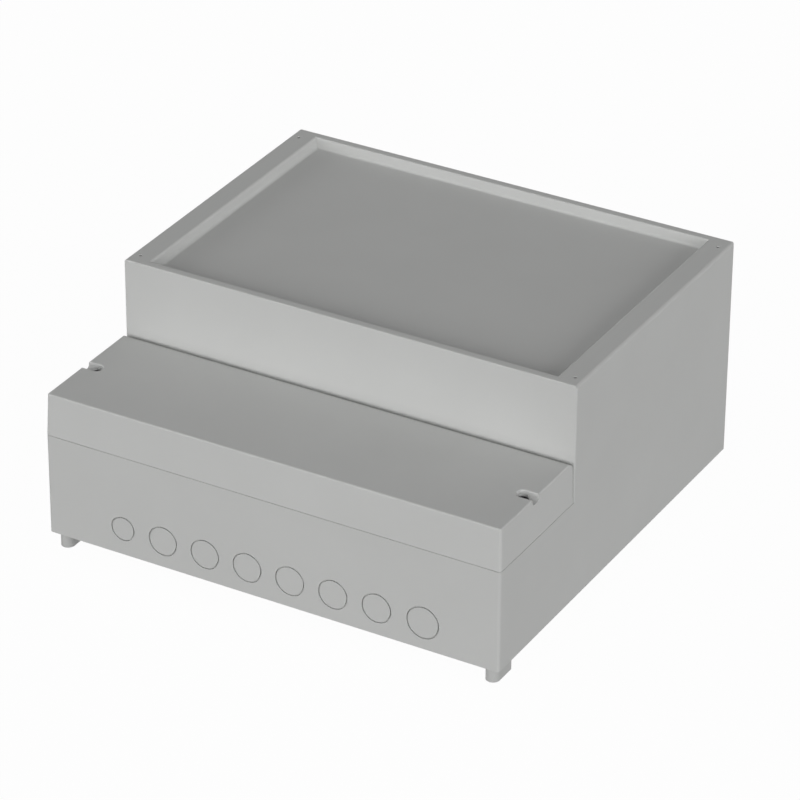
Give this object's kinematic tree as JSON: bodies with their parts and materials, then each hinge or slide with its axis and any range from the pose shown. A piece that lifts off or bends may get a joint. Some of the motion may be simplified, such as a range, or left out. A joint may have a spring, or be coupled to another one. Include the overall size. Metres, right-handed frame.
{
  "type": "controller enclosure",
  "caption": "Stepped plastic wall enclosure with a recessed panel field, a screwed terminal cover over scored cable entries, and a base plate on stand-off feet.",
  "frame": {"origin": "on the floor under the four feet, in the middle of the overall box", "axes": "+X along the row of cable entries from the small to the large one, +Y from the cable entries to the rear wall, +Z away from the wall the enclosure hangs on"},
  "size_m": [0.302, 0.289, 0.1526],
  "materials": {
    "shell": "fine spark-eroded moulded texture",
    "cover": "fine spark-eroded moulded texture",
    "base": "plain moulded",
    "seal": "matt",
    "keeper": "matt",
    "steel": "zinc plated",
    "zinc": "zinc plated sheet",
    "brass": "turned and knurled"
  },
  "bodies": {
    "enclosure": {"housing": "shell", "base_plate": "base", "base_screws": "steel", "cover_inserts": "brass", "mounting_plate": "zinc", "plate_screws": "steel", "stud_inserts": "brass", "terminal_rail": "zinc", "rail_screws": "steel"},
    "cover": {"terminal_cover": "cover", "cover_seal": "seal", "screw_keepers": "keeper"},
    "left_screw": {"cover_screw_left": "steel"},
    "right_screw": {"cover_screw_right": "steel"}
  },
  "joints": [
    {"name": "cover_lift", "type": "slide", "parent": "enclosure", "child": "cover", "axis": [0, 0, 1], "range_m": [0, 0.09]},
    {"name": "left_screw_turn", "type": "hinge", "parent": "cover", "child": "left_screw", "pos_m": [-0.1423, -0.1029, 0.0986], "axis": [0, 0, 1], "continuous": true},
    {"name": "right_screw_turn", "type": "hinge", "parent": "cover", "child": "right_screw", "pos_m": [0.1423, -0.1029, 0.0986], "axis": [0, 0, 1], "continuous": true}
  ]
}
